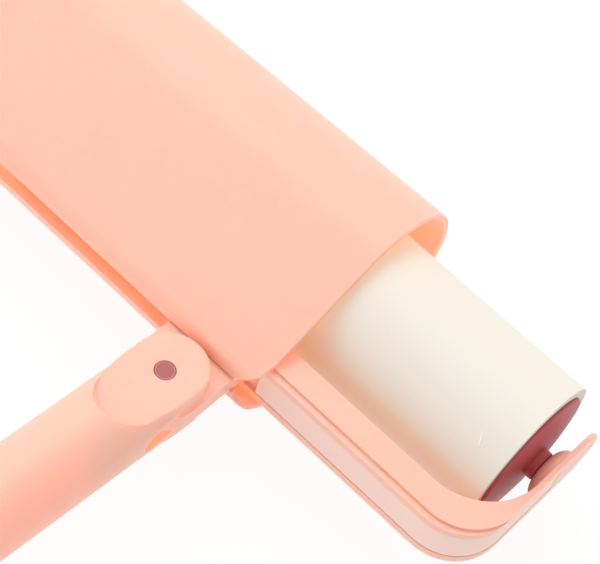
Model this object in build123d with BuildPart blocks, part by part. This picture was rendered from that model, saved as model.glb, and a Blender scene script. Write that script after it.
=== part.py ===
"""Folding lint roller with a sliding cover.

A refill roll of adhesive sheets turns on two end plugs between the arms of a moulded cradle. A flat neck
on the cradle's back is pinned between the two cheeks of the handle, so the handle folds sideways along the
roll. A teardrop sleeve, open at both ends and slotted along its narrow side for the neck, slides along the
cradle to cover the roll.

Millimetres, +Z up along the hinge pin, +X along the roll, +Y from the handle towards the roll. The origin
is on the ground, under the middle of the whole object. In the named values, x, y and z are counted from
the centre of the roll.
"""
import os
from math import asin, atan2, cos, hypot, radians, sin, tan

from build123d import *

# Refill roll: printed core, wound sheets and the loose outer sheet
roll_length = 160.0
roll_radius = 23.5
sheet_thickness = 0.25
sheet_seam = 0.8
sheets_wall = 2.75
card_wall = 1.5

# Running clearances
fit_gap = 0.05
side_gap = 0.25

# End plugs that carry the roll
plug_flange_overlap = 1.4
plug_flange = 1.5
plug_dome = 1.1
plug_dome_swell = 0.7
plug_wall = 1.7
plug_depth = 12.0
plug_hub_radius = 5.1
plug_hub_depth = 4.5
plug_stub = 2.8
axle_radius = 2.6
axle_reach = 8.0

# Cradle: spine, corners and arms
spine_gap = 7.5
spine_depth = 9.6
spine_half = 8.8
corner_radius = 16.0
inner_corner_radius = 20.0
arm_leaf = 1.5
arm_boss = 3.0
arm_boss_radius = 8.6
arm_boss_slope = 45.0
arm_round_y = 9.3
ledge_width = 1.8
ledge_drop = 1.0
strip_half = 5.4
strip_thickness = 0.9
strip_recess = 0.25
strip_end_y = 4.0

# Neck and hinge
neck_half_thickness = 3.0
neck_half_width = 12.0
neck_root_radius = 4.0
pin_reach = 20.3
pin_radius = 2.4
pin_head_radius = 3.0
pin_head_gap = 0.15
pin_head_thickness = 1.7
pin_dish = 0.35
pin_sink = 0.1
washer_thickness = 0.5
washer_margin = 2.0

# Sliding cover
cover_length = 184.0
cover_offset = -73.0
cover_wall = 1.8
cover_roll_gap = 4.2
cover_spine_gap = 0.5
cover_rise = 6.0
cover_lip_gap = 5.9
cover_lip_radius = 5.0
cover_draft = 2.5
cover_slot_gap = 0.4
cover_corner_radius = 11.0

# Handle
handle_angle = -2.6
handle_radius = 12.25
handle_length = 138.0
cheek_half = 8.0
cheek_edge = 1.2
facet_radius = 9.8
facet_length = 10.4
facet_slope = 35.0
slot_clearance = 0.6
window_length = 16.0
bore_start = 34.0
handle_bore_radius = 10.0
seam_chamfer = 0.4
cap_length = 16.0
cap_edge = 6.0
cap_plug = 10.0
cap_wall = 2.0
hang_hole_radius = 3.0
hang_hole_inset = 11.0

# Places that follow from the sizes, counted from the centre of the roll
roll_end = roll_length / 2
card_outer = roll_radius - sheet_thickness - sheets_wall
card_inner = card_outer - card_wall
plug_radius = card_inner - fit_gap
flange_radius = card_inner + plug_flange_overlap
flange_face = roll_end + plug_flange
dome_face = flange_face + plug_dome
stub_end = dome_face + plug_stub
boss_face = stub_end + side_gap
arm_in = boss_face + arm_boss
arm_out = arm_in + arm_leaf
spine_front = -(roll_radius + spine_gap)
spine_back = spine_front - spine_depth
arm_tip = arm_round_y + spine_half
pin_y = spine_back - pin_reach
fork_gap_half = neck_half_thickness + fit_gap + washer_thickness
lip_y = spine_back - cover_lip_gap
slot_half = neck_half_thickness + cover_slot_gap
cover_radius = roll_radius + cover_roll_gap + cover_wall
cover_top = cover_rise + cover_radius
cover_end = cover_offset - cover_length / 2
cover_mouth = cover_offset + cover_length / 2
handle_turn = radians(handle_angle)
cap_seat = handle_length - cap_length

# Farthest reach of the handle's rounded end, which lies a little askew
handle_foot = pin_y - cap_edge - (handle_length - cap_edge) * cos(handle_turn)
handle_foot -= (handle_radius - cap_edge) * abs(sin(handle_turn))

# Place of the roll's centre in the part's own frame
axle_x = -(arm_out + cover_end) / 2
axle_y = -(cover_top + handle_foot) / 2
axle_z = cover_radius


def level(z):
    """Plane parallel to the ground, z above the roll's axis."""
    return Plane(origin=(axle_x, axle_y, axle_z + z), x_dir=(1, 0, 0), z_dir=(0, 0, 1))


def across(x, facing=1):
    """Plane across the roll at x: its first axis is +Y, and it faces +X or -X."""
    return Plane(origin=(axle_x + x, axle_y, axle_z), x_dir=(0, 1, 0), z_dir=(facing, 0, 0))


def hinge_level(z):
    """Plane parallel to the ground through the hinge pin, turned so that its -Y runs down the handle."""
    return Plane(
        origin=(axle_x, axle_y + pin_y, axle_z + z),
        x_dir=(cos(handle_turn), sin(handle_turn), 0),
        z_dir=(0, 0, 1),
    )


def down_handle(distance):
    """Plane across the handle at that distance from the pin, facing the handle's free end."""
    return Plane(
        origin=hinge_level(0).from_local_coords((0, -distance, 0)),
        x_dir=hinge_level(0).x_dir,
        z_dir=-hinge_level(0).y_dir,
    )


roll_axis = Axis((axle_x, axle_y, axle_z), (1, 0, 0))
parts = []


def keep(builder, name):
    """Label a finished piece and queue it for export."""
    builder.part.label = name
    parts.append(builder.part)


# ---------------------------------------------------------------- refill roll
def roll_tube(inner, outer):
    """A plain tube as long as the roll."""
    with BuildPart() as tube:
        with BuildSketch(across(-roll_end)):
            Circle(outer)
            Circle(inner, mode=Mode.SUBTRACT)
        extrude(amount=roll_length)
    return tube


card_core = roll_tube(card_inner, card_outer)
keep(card_core, "card_core")

adhesive_roll = roll_tube(card_outer, roll_radius - sheet_thickness)
keep(adhesive_roll, "adhesive_roll")

# The outer sheet goes once round the roll and stops short of itself at the seam, underneath.
with BuildPart() as outer_sheet:
    with BuildSketch(across(-roll_end)):
        Circle(roll_radius)
        Circle(roll_radius - sheet_thickness, mode=Mode.SUBTRACT)
        with Locations((0, -roll_radius)):
            Rectangle(sheet_seam, 4 * sheet_thickness, mode=Mode.SUBTRACT)
    extrude(amount=roll_length)
keep(outer_sheet, "outer_sheet")


# ---------------------------------------------------------------- end plugs
def end_plug(side):
    """A cup that fills the card core's end, with a domed flange and a stub that turns on the arm's axle."""
    floor = roll_end - plug_hub_depth
    cup_end = roll_end - plug_depth
    bore = axle_radius + fit_gap
    with BuildPart() as plug:
        with BuildSketch(level(0)):
            with BuildLine():
                Polyline(
                    (side * stub_end, bore),
                    (side * floor, bore),
                    (side * floor, plug_hub_radius),
                    (side * (roll_end - plug_wall), plug_hub_radius),
                    (side * (roll_end - plug_wall), plug_radius - plug_wall),
                    (side * cup_end, plug_radius - plug_wall),
                    (side * cup_end, plug_radius),
                    (side * roll_end, plug_radius),
                    (side * roll_end, flange_radius),
                    (side * flange_face, flange_radius),
                )
                ThreePointArc(
                    (side * flange_face, flange_radius),
                    (side * (flange_face + plug_dome_swell * plug_dome), (flange_radius + plug_hub_radius) / 2),
                    (side * dome_face, plug_hub_radius),
                )
                Polyline(
                    (side * dome_face, plug_hub_radius),
                    (side * stub_end, plug_hub_radius),
                    (side * stub_end, bore),
                )
            make_face()
        revolve(axis=roll_axis)
    return plug


for side, hand in ((-1, "left"), (1, "right")):
    keep(end_plug(side), f"end_plug_{hand}")


# ---------------------------------------------------------------- cradle
def cradle_outline(inset):
    """The cradle's outer outline seen from above, open towards +Y, drawn in from the outside by inset."""
    with BuildSketch() as outline:
        with Locations((0, spine_back + inset)):
            Rectangle(
                2 * (arm_out - inset),
                arm_tip - spine_back - inset,
                align=(Align.CENTER, Align.MIN),
            )
        fillet(outline.vertices().group_by(Axis.Y)[0], corner_radius - inset)
    return outline.sketch


def back_band(depth, inset=0.0):
    """A band of the given depth just inside the cradle's outer outline."""
    with BuildSketch() as band:
        add(cradle_outline(inset))
        add(cradle_outline(depth), mode=Mode.SUBTRACT)
    return band.sketch


with BuildPart() as cradle:
    # Spine, corners and arms in one sweep of plastic
    with BuildSketch() as roll_bay:
        with Locations((0, spine_front)):
            Rectangle(2 * arm_in, 2 * arm_tip - spine_front, align=(Align.CENTER, Align.MIN))
        fillet(roll_bay.vertices().group_by(Axis.Y)[0], inner_corner_radius)
    with BuildSketch(level(-spine_half)):
        add(cradle_outline(0))
        add(roll_bay.sketch, mode=Mode.SUBTRACT)
    extrude(amount=2 * spine_half)
    # Rounded arm tips, seen along the roll
    with BuildSketch(across(-arm_out)):
        with Locations((arm_round_y, 0)):
            Circle(spine_half)
            Rectangle(arm_round_y - spine_back, 2 * spine_half, align=(Align.MAX, Align.CENTER))
    extrude(amount=2 * arm_out, mode=Mode.INTERSECT)
    # A ledge along the outer edge of both faces
    for face in (-1, 1):
        with BuildSketch(level(face * spine_half)):
            add(back_band(ledge_width))
        extrude(amount=-face * ledge_drop, mode=Mode.SUBTRACT)
    # A shallow channel round the back for the trim strips
    with BuildSketch(level(-strip_half)):
        add(back_band(strip_thickness + strip_recess))
    extrude(amount=2 * strip_half, mode=Mode.SUBTRACT)
    # Sloped bosses inside the arms, each with the axle that its end plug turns on
    for side in (-1, 1):
        with BuildSketch(across(side * arm_in, -side)):
            Circle(arm_boss_radius)
        extrude(amount=arm_boss, taper=arm_boss_slope)
        with BuildSketch(across(side * arm_in, -side)):
            Circle(axle_radius)
        extrude(amount=arm_boss + axle_reach)
    # Neck that reaches through the cover's slot to the hinge
    with BuildSketch(level(-neck_half_thickness)):
        with Locations((0, pin_y)):
            Circle(neck_half_width)
            Rectangle(
                2 * neck_half_width,
                spine_front - pin_y - strip_thickness,
                align=(Align.CENTER, Align.MIN),
            )
    extrude(amount=2 * neck_half_thickness)
    neck_roots = cradle.edges().filter_by(Axis.Z).filter_by_position(
        Axis.Y, axle_y + spine_back - fit_gap, axle_y + spine_back + strip_thickness + strip_recess + fit_gap
    )
    fillet([e for e in neck_roots if abs(e.center().X - axle_x) < 2 * neck_half_width], neck_root_radius)
    with BuildSketch(level(-neck_half_thickness)):
        with Locations((0, pin_y)):
            Circle(pin_radius + fit_gap)
    extrude(amount=2 * neck_half_thickness, mode=Mode.SUBTRACT)
keep(cradle, "cradle")


# ---------------------------------------------------------------- trim strips
def trim_strip(side):
    """The pale band in the cradle's back channel: from the neck, round one corner and up the arm."""
    clear = side_gap / 2
    with BuildPart() as strip:
        with BuildSketch(level(clear - strip_half)):
            add(back_band(strip_thickness + strip_recess - clear, strip_recess))
        extrude(amount=2 * (strip_half - clear))
        with BuildSketch(level(-strip_half)):
            with Locations((side * (neck_half_width + neck_root_radius + side_gap), spine_back)):
                Rectangle(
                    2 * arm_out,
                    strip_end_y - spine_back,
                    align=(Align.MIN if side > 0 else Align.MAX, Align.MIN),
                )
        extrude(amount=2 * strip_half, mode=Mode.INTERSECT)
    return strip


for side, hand in ((-1, "left"), (1, "right")):
    keep(trim_strip(side), f"trim_strip_{hand}")


# ---------------------------------------------------------------- sliding cover
def teardrop(x, shrink, inset):
    """Teardrop section of the cover at x: a round crown, two flat flanks that close in on the spine, and lips.

    The draft draws the crown in by shrink all round and lets its middle down by the same; the wall's inner
    face is the same section drawn in by inset.
    """
    rise = cover_rise - shrink
    radius = cover_radius - shrink
    # The flanks are tangents to the crown that pass the spine's corner at the wall and its gap
    corner_y = spine_back + ledge_width - rise
    reach = hypot(corner_y, spine_half)
    slope = asin((radius - cover_wall - cover_spine_gap) / reach) - atan2(spine_half, -corner_y)
    radius = radius - inset
    flank_y = rise - radius * sin(slope)
    flank_z = radius * cos(slope)
    foot_y = lip_y + inset
    foot_z = flank_z - (flank_y - foot_y) * tan(slope)
    with BuildSketch(across(x)) as section:
        with BuildLine():
            Polyline((flank_y, flank_z), (foot_y, foot_z), (foot_y, -foot_z), (flank_y, -flank_z))
            ThreePointArc((flank_y, -flank_z), (rise + radius, 0), (flank_y, flank_z))
        make_face()
        fillet(section.vertices().group_by(Axis.X)[0], cover_lip_radius - inset)
    return section.sketch.face()


with BuildPart() as cover:
    loft([teardrop(cover_end, cover_draft, 0), teardrop(cover_mouth, 0, 0)])
    loft(
        [teardrop(cover_end, cover_draft, cover_wall), teardrop(cover_mouth, 0, cover_wall)],
        mode=Mode.SUBTRACT,
    )
    # Slot for the neck along the narrow side
    with BuildSketch(level(-slot_half)):
        with Locations((cover_end, lip_y)):
            Rectangle(cover_length, 4 * cover_wall, align=(Align.MIN, Align.CENTER))
    extrude(amount=2 * slot_half, mode=Mode.SUBTRACT)
    # Rounded corners where the slot runs out at each end
    for end, side in ((cover_end, 1), (cover_mouth, -1)):
        with BuildSketch(level(-cover_radius)):
            with Locations((end, lip_y)):
                Rectangle(
                    cover_corner_radius,
                    cover_corner_radius,
                    align=(Align.MIN if side > 0 else Align.MAX, Align.MIN),
                )
            with Locations((end + side * cover_corner_radius, lip_y + cover_corner_radius)):
                Circle(cover_corner_radius, mode=Mode.SUBTRACT)
        extrude(amount=2 * cover_radius, mode=Mode.SUBTRACT)
keep(cover, "cover")

# ---------------------------------------------------------------- handle
with BuildPart() as handle:
    # Round bar from beyond the pin to the end cap's seat
    with BuildSketch(down_handle(-handle_radius)):
        Circle(handle_radius)
    extrude(amount=handle_radius + cap_seat)
    chamfer(handle.edges().sort_by(Axis.Y)[0], seam_chamfer)
    # Rounded about the pin, seen from above
    with BuildSketch(hinge_level(-handle_radius)):
        Circle(handle_radius)
        Rectangle(2 * handle_radius, handle_length, align=(Align.CENTER, Align.MAX))
    extrude(amount=2 * handle_radius, mode=Mode.INTERSECT)
    # Flat cheeks above and below, each running out in a round scoop
    for face in (-1, 1):
        with BuildSketch(hinge_level(face * cheek_half)):
            with Locations((0, -facet_length)):
                Circle(facet_radius)
                Rectangle(4 * handle_radius, 4 * handle_radius, align=(Align.CENTER, Align.MIN))
        extrude(amount=face * handle_radius, taper=-facet_slope, mode=Mode.SUBTRACT)
    # Softened edge round the cheeks' free end
    fillet(handle.faces().filter_by(Axis.Z).edges().group_by(Axis.Y)[-1], cheek_edge)
    # Hollow from behind the fork to the end cap
    with BuildSketch(down_handle(bore_start)):
        Circle(handle_bore_radius)
    extrude(amount=cap_seat - bore_start, mode=Mode.SUBTRACT)
    # Fork slot: round behind the neck's end
    swing = neck_half_width + slot_clearance
    with BuildSketch(hinge_level(-fork_gap_half)):
        Circle(swing)
        Rectangle(4 * swing, 2 * swing, align=(Align.CENTER, Align.MIN))
    extrude(amount=2 * fork_gap_half, mode=Mode.SUBTRACT)
    # Window that lets the neck swing out on one side
    with BuildSketch(Plane(hinge_level(0).origin, x_dir=hinge_level(0).y_dir, z_dir=hinge_level(0).x_dir)):
        with Locations((fork_gap_half - window_length, 0)):
            Circle(fork_gap_half)
            Rectangle(window_length, 2 * fork_gap_half, align=(Align.MIN, Align.CENTER))
    extrude(amount=2 * handle_radius, mode=Mode.SUBTRACT)
    # Bores for the pin and its two heads
    with BuildSketch(hinge_level(-cheek_half)):
        Circle(pin_radius + fit_gap)
    extrude(amount=2 * cheek_half, mode=Mode.SUBTRACT)
    for face in (-1, 1):
        with BuildSketch(hinge_level(face * cheek_half)):
            Circle(pin_head_radius + pin_head_gap)
        extrude(amount=-face * (pin_sink + pin_head_thickness), mode=Mode.SUBTRACT)
keep(handle, "handle")

with BuildPart() as end_cap:
    with BuildSketch(down_handle(cap_seat)):
        Circle(handle_radius)
    extrude(amount=cap_length)
    fillet(end_cap.edges().sort_by(Axis.Y)[0], cap_edge)
    chamfer(end_cap.edges().sort_by(Axis.Y)[-1], seam_chamfer)
    # Hollow plug that holds the cap in the grip
    with BuildSketch(down_handle(cap_seat)):
        Circle(handle_bore_radius - fit_gap)
        Circle(handle_bore_radius - fit_gap - cap_wall, mode=Mode.SUBTRACT)
    extrude(amount=-cap_plug)
    # Hang hole through the cap
    with BuildSketch(hinge_level(-handle_radius)):
        with Locations((0, hang_hole_inset - handle_length)):
            Circle(hang_hole_radius)
    extrude(amount=2 * handle_radius, mode=Mode.SUBTRACT)
keep(end_cap, "end_cap")


# ---------------------------------------------------------------- hinge
head_top = cheek_half - pin_sink
head_seat = head_top - pin_head_thickness
shaft_end = pin_dish + seam_chamfer - head_top
with BuildPart() as hinge_pin:
    for radius, low, high in ((pin_radius, shaft_end, head_seat), (pin_head_radius, head_seat, head_top)):
        with BuildSketch(level(low)):
            with Locations((0, pin_y)):
                Circle(radius)
        extrude(amount=high - low)
    chamfer(hinge_pin.edges().group_by(Axis.Z)[-1], pin_dish)
keep(hinge_pin, "hinge_pin")

with BuildPart() as pin_cap:
    with BuildSketch(level(-head_top)):
        with Locations((0, pin_y)):
            Circle(pin_head_radius)
    extrude(amount=pin_head_thickness)
    chamfer(pin_cap.edges().group_by(Axis.Z)[0], pin_dish)
    with BuildSketch(level(shaft_end)):
        with Locations((0, pin_y)):
            Circle(pin_radius + fit_gap)
    extrude(amount=pin_head_thickness, mode=Mode.SUBTRACT)
keep(pin_cap, "pin_cap")

for face, place in ((-1, "lower"), (1, "upper")):
    with BuildPart() as washer:
        with BuildSketch(level(face * (neck_half_thickness + fit_gap))):
            with Locations((0, pin_y)):
                Circle(neck_half_width - washer_margin)
                Circle(pin_radius + 2 * fit_gap, mode=Mode.SUBTRACT)
        extrude(amount=face * washer_thickness)
    keep(washer, f"washer_{place}")

os.makedirs("parts", exist_ok=True)
for part in parts:
    export_step(part, f"parts/{part.label}.step")
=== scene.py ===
"""Finish and studio for a folding lint roller with a sliding cover.

Peach moulded plastic for the cover, cradle and handle, a roll of cream adhesive paper on a card core, and
wine-red plugs and hinge pin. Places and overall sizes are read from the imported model, and the moulded forms
that are made here have their own named sizes.
"""
import math

import bmesh
import bpy
from bpy.props import FloatProperty, FloatVectorProperty, PointerProperty
from bpy.types import Operator, Panel, PropertyGroup
from mathutils import Matrix, Vector


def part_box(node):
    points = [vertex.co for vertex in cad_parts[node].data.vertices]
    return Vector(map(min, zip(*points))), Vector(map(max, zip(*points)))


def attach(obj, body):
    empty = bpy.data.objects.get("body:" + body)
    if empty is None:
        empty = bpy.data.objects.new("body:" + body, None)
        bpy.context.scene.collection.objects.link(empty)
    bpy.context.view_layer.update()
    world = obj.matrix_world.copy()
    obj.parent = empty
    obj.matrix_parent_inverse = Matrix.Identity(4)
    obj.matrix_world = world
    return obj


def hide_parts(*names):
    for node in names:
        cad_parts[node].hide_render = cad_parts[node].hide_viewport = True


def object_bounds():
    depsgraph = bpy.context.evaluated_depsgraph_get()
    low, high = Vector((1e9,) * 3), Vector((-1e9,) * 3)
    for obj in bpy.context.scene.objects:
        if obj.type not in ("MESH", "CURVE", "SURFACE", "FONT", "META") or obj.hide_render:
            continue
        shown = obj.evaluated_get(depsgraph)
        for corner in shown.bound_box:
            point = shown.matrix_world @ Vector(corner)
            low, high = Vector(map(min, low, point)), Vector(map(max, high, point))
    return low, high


bl_info = {
    "name": "Folding Lint Roller",
    "version": (1, 0, 0),
    "blender": (4, 5, 0),
    "location": "3D Viewport > Sidebar > Lint Roller",
    "description": "Dresses a folding lint roller with a sliding cover and sets up its studio",
    "category": "Object",
}

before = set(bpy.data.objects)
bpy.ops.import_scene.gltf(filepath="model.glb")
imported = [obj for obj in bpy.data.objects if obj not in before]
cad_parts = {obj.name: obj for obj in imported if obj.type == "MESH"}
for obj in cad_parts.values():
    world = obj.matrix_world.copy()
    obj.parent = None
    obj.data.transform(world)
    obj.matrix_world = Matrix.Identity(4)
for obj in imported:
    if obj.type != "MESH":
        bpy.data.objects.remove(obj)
cad_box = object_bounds()

mm = 0.001
past = 1.0 * mm  # how far a cutting shape goes past what it cuts
skim = 0.0002  # how far a cut round the outside starts off it
seat = 0.00005  # room between pieces that turn or sit in one another


def colour_prop(name, description, default):
    """A colour that a user may change."""
    return FloatVectorProperty(
        name=name, description=description, default=default, min=0.0, max=1.0, size=3, subtype="COLOR"
    )


def length_prop(name, description, default):
    """A length in metres that a user may change."""
    return FloatProperty(
        name=name, description=description, default=default, min=0.0, soft_max=1.0, unit="LENGTH", precision=5
    )


def place_prop(name, description, default):
    """A place or a direction that a user may change."""
    return FloatVectorProperty(name=name, description=description, default=default, size=3, subtype="XYZ")


def angle_prop(name, description, degrees):
    """An angle that a user may change, written in degrees."""
    return FloatProperty(
        name=name, description=description, default=math.radians(degrees), subtype="ANGLE"
    )


def factor_prop(name, description, default, highest=1.0):
    """A plain factor that a user may change."""
    return FloatProperty(
        name=name, description=description, default=default, min=0.0, max=highest, subtype="FACTOR"
    )


class PlasticSettings(PropertyGroup):
    """Colours and grain of the moulded plastic."""

    peach: colour_prop("Peach", "Moulded plastic of the cover, cradle and handle", (0.955, 0.522, 0.41))
    # The band's paler colour is painted light: it stands in for the brighter light on the cradle's back.
    band_peach_painted_lit: colour_prop("Pale peach", "Trim strips round the cradle's back", (0.98, 0.655, 0.58))
    wine: colour_prop("Wine red", "End plugs", (0.46, 0.088, 0.095))
    rose: colour_prop("Dusky rose", "Hinge pin and its cap", (0.39, 0.085, 0.09))
    # The ring's paler rose is a painted highlight on the pin's heads.
    rose_highlight: colour_prop("Pale rose", "Raised ring on the pin's heads", (0.56, 0.19, 0.19))
    nylon: colour_prop("Nylon", "Washers in the hinge", (0.80, 0.78, 0.74))
    grain_size: length_prop("Grain size", "Spacing of the moulded grain", 0.0006)
    edge_radius: length_prop("Edge radius", "Softening of every moulded edge", 0.0004)
    satin: factor_prop("Satin", "Roughness of the peach plastic", 0.42)
    shell_glow: length_prop("Shell glow", "How far light travels inside the thin cover", 0.003)
    solid_glow: length_prop("Solid glow", "How far light travels inside the cradle and handle", 0.0014)
    # Shell, solid and grip light are painted glows: emission on each part's inner wall that stands in for
    # light coming through the plastic. Light through is the glow's colour, and the camera sees only the seen
    # share of it.
    shell_painted_glow: factor_prop("Shell light", "Light that comes through the cover's wall", 0.7, 4.0)
    solid_painted_glow: factor_prop("Solid light", "Light that comes through the cradle", 0.25, 4.0)
    grip_painted_glow: factor_prop("Grip light", "Light that comes through the handle", 0.9, 4.0)
    seen_glow_share: factor_prop("Direct share", "Share of that light that is seen on the wall itself", 0.2)
    through: colour_prop("Light through", "Colour of light that comes through a wall", (0.86, 0.57, 0.33))
    spread: colour_prop("Spread", "Shares of the glow that red, green and blue travel", (1.0, 0.5, 0.35))
    trim_glow: length_prop("Trim glow", "How far light travels inside the trim strips", 0.0008)


class ShapeSettings(PropertyGroup):
    """Sizes of the moulded forms that the finish brings."""

    back_corner: length_prop("Back corner", "Radius of the cradle's corners outside", 0.016)
    bay_corner: length_prop("Bay corner", "Radius of the cradle's corners inside", 0.020)
    cradle_edge: length_prop("Cradle edge", "Rounding of the cradle's edges", 0.00035)
    spine_depth: length_prop("Spine depth", "From the cradle's back to its bay", 0.0096)
    arm_leaf: length_prop("Arm leaf", "Thickness of each arm", 0.0015)
    ledge_width: length_prop("Ledge width", "Step along the cradle's back edge", 0.0018)
    ledge_drop: length_prop("Ledge drop", "Depth of that step", 0.001)
    band_half: length_prop("Band half width", "Half the height of the band round the cradle's back", 0.0054)
    band_depth: length_prop("Band depth", "How deep the band is let into the back", 0.00115)
    band_recess: length_prop("Band recess", "How far the band lies below the back", 0.00015)
    band_edge: length_prop("Band edge", "Rounding of the band's two edges", 0.0005)
    band_gap: length_prop("Band gap", "Between the band's end and the neck's root", 0.00025)
    band_slack: length_prop("Band slack", "Room round the band in its channel", 0.00004)
    band_shift: length_prop("Band shift", "How much less the band is let in along the back", 0.000125)
    boss_radius: length_prop("Boss radius", "Sloped boss inside each arm", 0.0086)
    boss_height: length_prop("Boss height", "How far the boss stands off its arm", 0.0034)
    axle_radius: length_prop("Axle radius", "Axle that an end plug turns on", 0.0026)
    axle_reach: length_prop("Axle reach", "How far the axle goes past its boss", 0.0076)
    plug_flange: length_prop("Plug flange", "Radius of the end plugs' flange", 0.0204)
    plug_edge: length_prop("Plug edge", "Thickness of that flange at its edge", 0.0009)
    plug_dome: length_prop("Plug dome", "How far the flange swells towards its hub", 0.0017)
    plug_hub: length_prop("Plug hub", "Radius of the hub that turns on the axle", 0.0046)
    plug_cup: length_prop("Plug cup", "Radius of the cup inside the core", 0.0189)
    plug_wall: length_prop("Plug wall", "Thickness of the cup's wall and web", 0.0017)
    plug_sleeve: length_prop("Plug sleeve", "How far the hub goes into the cup", 0.0045)
    cup_depth: length_prop("Cup depth", "How far the cup goes into the core", 0.012)
    plug_gap: length_prop("Plug gap", "Between the plug's hub and the boss", 0.00025)
    flange_edge: length_prop("Flange edge", "Rounding of the flange's rim", 0.0004)
    neck_half: length_prop("Neck half thickness", "Half the thickness of the neck", 0.003)
    neck_width: length_prop("Neck half width", "Half the width of the neck", 0.012)
    neck_root: length_prop("Neck root", "Radius where the neck leaves the back", 0.004)
    cheek_half: length_prop("Cheek half height", "Half the height of the fork", 0.008)
    cheek_width: length_prop("Cheek half width", "Half the width of the fork at the pin", 0.011)
    cheek_waist: length_prop("Cheek waist", "Half the width where the cheek sinks into the grip", 0.0096)
    cheek_tail: length_prop("Cheek tail", "From the pin to where the cheek sinks into the grip", 0.018)
    cheek_shoulder: length_prop("Cheek shoulder", "From the pin to where the fork widens", 0.0049)
    fork_waist: length_prop("Fork waist", "Half the width of the grip behind the fork", 0.0123)
    fork_tail: length_prop("Fork tail", "From the pin to where the grip has its full width", 0.024)
    cheek_reach: length_prop("Cheek reach", "From the pin to the tip of the fork", 0.0129)
    cheek_edge: length_prop("Cheek edge", "Rounding of the cheeks' edges", 0.0012)
    fork_gap: length_prop("Fork half gap", "Half the gap between the cheeks", 0.00355)
    pin_ring: length_prop("Pin ring", "Radius of the raised ring on each pin head", 0.0026)
    pin_bore: length_prop("Pin bore", "Radius of the bore for the pin's shaft", 0.00245)
    head_bore: length_prop("Head bore", "Radius of the bores for the pin's two heads", 0.00307)
    head_floor: length_prop("Head floor", "Height of those bores' floors over the middle", 0.0062)
    cover_wall: length_prop("Cover wall", "Thickness of the cover", 0.0018)
    cover_rise: length_prop("Cover rise", "From the roll's axis to the crown's centre", 0.006)
    cover_draft: length_prop("Cover draft", "How much smaller the cover is at its far end", 0.0025)
    cover_corner: length_prop("Cover corner", "Rounded corners beside the slot", 0.006)
    lip_radius: length_prop("Lip radius", "Rounding of the lips along the slot", 0.005)
    slot_half: length_prop("Slot half width", "Half the width of the slot for the neck", 0.0034)
    cover_gap: length_prop("Cover gap", "Between the cover's flanks and the spine's corners", 0.0005)
    rim_radius: length_prop("Rim radius", "Softening of the cover's two rims", 0.0006)


class PaperSettings(PropertyGroup):
    """Colours and texture of the refill roll."""

    sheet: colour_prop("Sheet", "Adhesive paper", (0.8, 0.75, 0.665))
    card: colour_prop("Card", "Wound core", (0.52, 0.37, 0.24))
    turn: length_prop("Turn", "Thickness of one wound turn as it shows on the roll's end", 0.0005)
    nick: length_prop("Nick", "Width of the nick in the outer sheet", 0.00045)
    # The nick's near-white colour is a painted glint on its lifted lip.
    nick_glint: colour_prop("Nick", "Torn lip of the nick", (0.97, 0.95, 0.92))
    fibre_size: length_prop("Fibre size", "Spacing of the paper fibres", 0.0009)


class StudioSettings(PropertyGroup):
    """Camera, lamps and floor."""

    lens: FloatProperty(name="Lens", description="Focal length in millimetres", default=114.0, min=1.0)
    azimuth: angle_prop("Azimuth", "Camera's place round the object, from +X towards +Y", -62.85)
    elevation: angle_prop("Elevation", "Camera's height above the ground plane", 54.35)
    roll: angle_prop("Roll", "Camera's turn about its own line of sight", 19.32)
    distance: length_prop("Distance", "From the camera to the point it looks at", 0.5293)
    aim: place_prop("Aim", "Aim from the roll's centre", (0.0014, -0.0076, 0.0))
    ambient: factor_prop("Ambient", "Strength of the light tent", 0.76, 4.0)
    slant: factor_prop("Slant", "How much brighter the tent is on its bright side", 0.5)
    brighter: place_prop("Bright side", "Direction of the tent's bright side", (-0.6, 0.4, 0.7))
    key: FloatProperty(name="Key lamp", description="Power of the lamp above", default=6.0, min=0.0)
    key_place: place_prop("Key place", "Where the lamp above hangs", (-0.5, 0.35, 1.2))
    key_size: length_prop("Key size", "Width of the lamp above", 1.2)
    fill: FloatProperty(name="Fill lamp", description="Power of the low lamp", default=1.2, min=0.0)
    fill_place: place_prop("Fill place", "Where the low lamp stands", (-0.55, -0.9, 0.3))
    fill_size: length_prop("Fill size", "Width of the low lamp", 0.6)
    floor_reach: length_prop("Floor reach", "Radius of the floor", 8.0)
    shadow: factor_prop("Shadow", "How much of the object's shadow the floor shows", 0.12)
    bounce: factor_prop("Bounce", "Light that the floor gives back even under the object", 0.8)


# ---------------------------------------------------------------- node helpers
def new_group(name, inputs, outputs):
    """An empty shader node group with named sockets: inputs maps a name to (type, default)."""
    group = bpy.data.node_groups.new(name, "ShaderNodeTree")
    for label, (kind, default) in inputs.items():
        socket = group.interface.new_socket(name=label, in_out="INPUT", socket_type=kind)
        if default is not None:
            socket.default_value = default
    for label, kind in outputs.items():
        group.interface.new_socket(name=label, in_out="OUTPUT", socket_type=kind)
    return group


def add_node(tree, kind, **settings):
    """A node of that kind; settings are its properties, and values holds (socket, value) pairs."""
    node = tree.nodes.new("ShaderNode" + kind)
    for socket, value in settings.pop("values", ()):
        node.inputs[socket].default_value = value
    for key, value in settings.items():
        setattr(node, key, value)
    return node


def maths(tree, operation, first, second=0.0):
    """A Math node on two values or sockets; gives its output socket."""
    node = add_node(tree, "Math", operation=operation)
    for socket, value in zip(node.inputs, (first, second)):
        if isinstance(value, bpy.types.NodeSocket):
            tree.links.new(value, socket)
        else:
            socket.default_value = value
    return node.outputs[0]


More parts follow.
